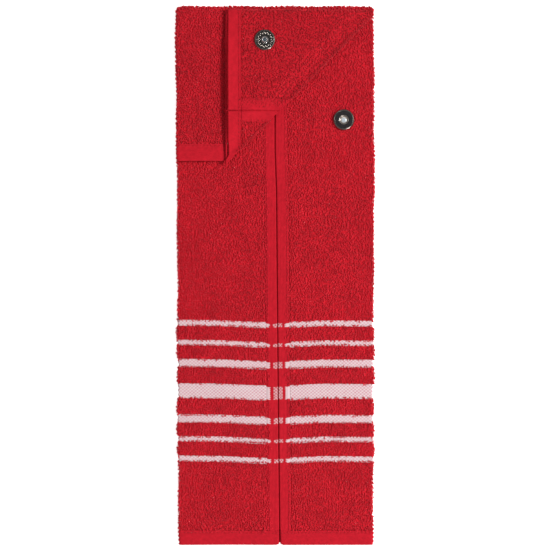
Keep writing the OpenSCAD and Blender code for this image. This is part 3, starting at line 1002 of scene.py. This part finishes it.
def lathe(name, at, profile, edge, material, body, turns=96):
    """A piece turned about a vertical axis from a closed list of (radius, height), its edges rounded."""
    profile = np.array(rounded(profile, edge))
    angle = 2 * np.pi * np.arange(turns) / turns
    points = np.stack([
        at[0] + profile[None, :, 0] * np.cos(angle)[:, None],
        at[1] + profile[None, :, 0] * np.sin(angle)[:, None],
        np.broadcast_to(profile[None, :, 1], (turns, len(profile))),
    ], -1).reshape(-1, 3)
    a = np.arange(turns)[:, None] * len(profile)
    b = np.roll(np.arange(turns), -1)[:, None] * len(profile)
    k = np.arange(len(profile))
    n = np.roll(k, -1)
    faces = np.stack([a + k, b + k, b + n, a + n], -1).reshape(-1, 4)
    return new_piece(name, (points, faces), material, body)


def rounded(points, radius, steps=5):
    """A closed profile with each corner rounded by that much, or less on short sides."""
    points = np.array(points, float)
    made = []
    for k, corner in enumerate(points):
        before, after = points[k - 1] - corner, points[(k + 1) % len(points)] - corner
        r = min(radius, np.linalg.norm(before) / 2.2, np.linalg.norm(after) / 2.2)
        a = corner + before / np.linalg.norm(before) * r
        b = corner + after / np.linalg.norm(after) * r
        for t in np.linspace(0, 1, steps):
            made.append((1 - t) ** 2 * a + 2 * t * (1 - t) * corner + t ** 2 * b)
    return made


def build_socket():
    """The snap's socket: rim, covered magnet, sleeve and the head of its rivet."""
    low, high = span("snap_socket_rim")
    at = (low + high)[:2] / 2
    z0, z1 = low[2], high[2] + 0.1
    out = (high - low)[0] / 2
    hole = 4.1
    rim = lathe("socket_rim_turned", at, [
        (out, z0), (out, z1 - 1.0), (out - 0.15, z1 - 0.55), (out - 0.95, z1 - 0.07),
        (out - 1.1, z1 - 0.12), (out - 1.1, z0)], 0.3, EDGE, "column")
    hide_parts("snap_socket_rim")
    ring = lathe("socket_magnet_cover", at, [
        (out - 1.0, z0), (out - 1.0, z1 - 0.35), (hole + 0.5, z1 - 0.35), (hole, z1 - 0.9),
        (hole, z0)], 0.25, BLACK, "column")
    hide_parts("snap_socket_magnet")
    lathe("socket_sleeve", at, [
        (hole + 0.02, z0 + 0.1), (hole + 0.02, z1 - 0.9), (hole - 0.25, z1 - 0.95),
        (hole - 1.0, z0 + 0.45), (0.01, z0 + 0.3), (0.01, z0 + 0.1)], 0.2,
        SLEEVE, "column")
    lathe("socket_rivet_head", (at[0], at[1] - 0.5), [
        (2.3, z0 + 0.2), (2.25, z0 + 0.42), (1.9, z0 + 0.52), (0.01, z0 + 0.55), (0.01, z0 + 0.2)], 0.1,
        DISC, "column")


def build_stud():
    """The snap's stud: edge, disc with its ring of ridges, and round post."""
    low, high = span("snap_stud_cap")
    at = (low + high)[:2] / 2
    z0, z1 = low[2], high[2]
    out = (high - low)[0] / 2
    post = span("snap_stud_post")
    r = (post[1] - post[0])[0] / 2
    face = z1 - 0.35
    lathe("stud_edge", at, [
        (out, z0), (out, z1 - 1.1), (out - 0.15, z1 - 0.7), (out - 1.0, z1 - 0.19),
        (out - 1.15, z1 - 0.22), (out - 1.15, z0)], 0.3, EDGE, "corner")
    cap = lathe("stud_cap_turned", at, [
        (out - 1.05, z0), (out - 1.05, z1 - 0.25), (out - 1.15, z1 - 0.1), (out - 1.35, z1 - 0.1),
        (out - 1.6, face),
        (r + 1.6, face), (r + 1.2, face - 0.1), (r - 0.1, face - 0.1), (r - 0.1, z0)], 0.3,
        GUNMETAL, "corner")
    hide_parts("snap_stud_cap")
    top = post[1][2]
    button = lathe("stud_post_turned", at, [
        (r + 0.55, z0), (r + 0.55, face + 0.25), (r, face + 0.5), (r, top - 0.7), (r - 0.5, top),
        (r - 0.9, top - 0.15), (r - 1.3, top - 1.1), (0.01, top - 1.2), (0.01, z0)], 0.35,
        BUTTON, "corner")
    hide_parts("snap_stud_post")
    # The recess's floor is painted near black, painted shade inside the hollow post.
    lathe("stud_post_recess", at, [
        (r - 1.2, top - 1.3), (r - 1.25, top - 1.0), (0.01, top - 0.85), (0.01, top - 1.3)], 0.15,
        SHADED_RECESS, "corner")
    ridges("stud_ridges", at, (r + 2.0, out - 1.9), face, count=26)


def ridges(name, at, reach, z, count):
    """A ring of plain rounded ridges pressed into the stud's face."""
    t = np.linspace(0, 1, 7)
    across = np.linspace(-1, 1, 5)
    parts = []
    for k in range(count):
        angle = 2 * np.pi * k / count + rng.uniform(-0.03, 0.03)
        r0 = reach[0] + (0.9 if k % 2 else 0.0)
        r1 = reach[1] - (0.0 if k % 2 else 0.6)
        radius = r0 + t * (r1 - r0)
        half = 0.42 * np.sqrt(np.clip(1 - (2 * t - 1) ** 4, 0.02, 1))
        side = half[:, None] * across
        lift = 0.38 * (1 - across ** 2)[None, :] * np.sqrt(np.clip(1 - (2 * t - 1) ** 6, 0, 1))[:, None]
        x = radius[:, None] * np.cos(angle) - side * np.sin(angle)
        y = radius[:, None] * np.sin(angle) + side * np.cos(angle)
        outer = np.stack([at[0] + x, at[1] + y, z + 0.02 + lift], -1)
        inner = outer * [1, 1, 0] + [0, 0, z - 0.1]
        points, faces = closed_sheet(outer, inner, np.array([0, 0, 1]))
        parts.append((points, faces, np.zeros(len(points))))
    return new_piece(name, join(parts), RELIEF, "corner")


def dress_cad():
    """Procedural metal on the CAD nodes that stay: plates and washers."""
    metals = {"snap_socket_plate": NICKEL, "snap_stud_plate": NICKEL,
              "snap_socket_washer": STEEL, "snap_stud_washer": STEEL}
    for node, metal in metals.items():
        obj = frame["nodes"][node]
        if not obj.material_slots:
            obj.data.materials.append(metal)
        for slot in obj.material_slots:
            slot.material = metal


# ---- the setting

def build_setting():
    """A pale floor, soft light from the right, and a long lens straight above."""
    size = 3.0
    z = -0.0004
    floor = bpy.data.meshes.new("floor")
    floor.from_pydata([(-size, -size, z), (size, -size, z), (size, size, z), (-size, size, z)],
                      [], [(0, 1, 2, 3)])
    obj = add_object("floor", floor)
    material, _, shader = nodes_of("pale_floor", 0.9, Specular_IOR_Level=0.1)
    shader.inputs["Base Color"].default_value = (0.9, 0.9, 0.9, 1)
    shader.inputs["Emission Color"].default_value = (1, 1, 1, 1)
    shader.inputs["Emission Strength"].default_value = 0.7
    floor.materials.append(material)

    world = bpy.data.worlds.new("studio")
    world.use_nodes = True
    background = world.node_tree.nodes["Background"]
    background.inputs["Color"].default_value = (1, 1, 1, 1)
    background.inputs["Strength"].default_value = 0.32
    bpy.context.scene.world = world

    add_light("key", (2.0, 0.4, 2.3), 0.5, 88)
    add_light("overhead", (-0.2, 0.3, 2.2), 1.6, 8)
    add_light("low", (0.8, -1.1, 0.7), 0.36, 10)

    camera = add_object("camera", bpy.data.cameras.new("camera"))
    camera.data.lens = 200
    camera.data.sensor_width = 36
    picture_width = 0.4798
    away = picture_width * camera.data.lens / camera.data.sensor_width
    cloth_height = 0.006
    camera.location = (-0.00035, 0.0007, away + cloth_height)
    camera.data.clip_start = 0.1
    bpy.context.scene.camera = camera
    bpy.context.scene.view_settings.view_transform = "Standard"


def add_light(name, at, size, power):
    """A square area light that faces the towel's middle."""
    light = bpy.data.lights.new(name, "AREA")
    light.size = size
    light.energy = power
    obj = add_object(name, light)
    obj.location = at
    direction = -obj.location
    obj.rotation_euler = direction.to_track_quat("-Z", "Y").to_euler()


build_setting()
build_column()
build_flap()
build_corner()
build_top_fold()
build_diagonal_fold()
build_socket()
build_stud()
dress_cad()

bpy.context.view_layer.update()
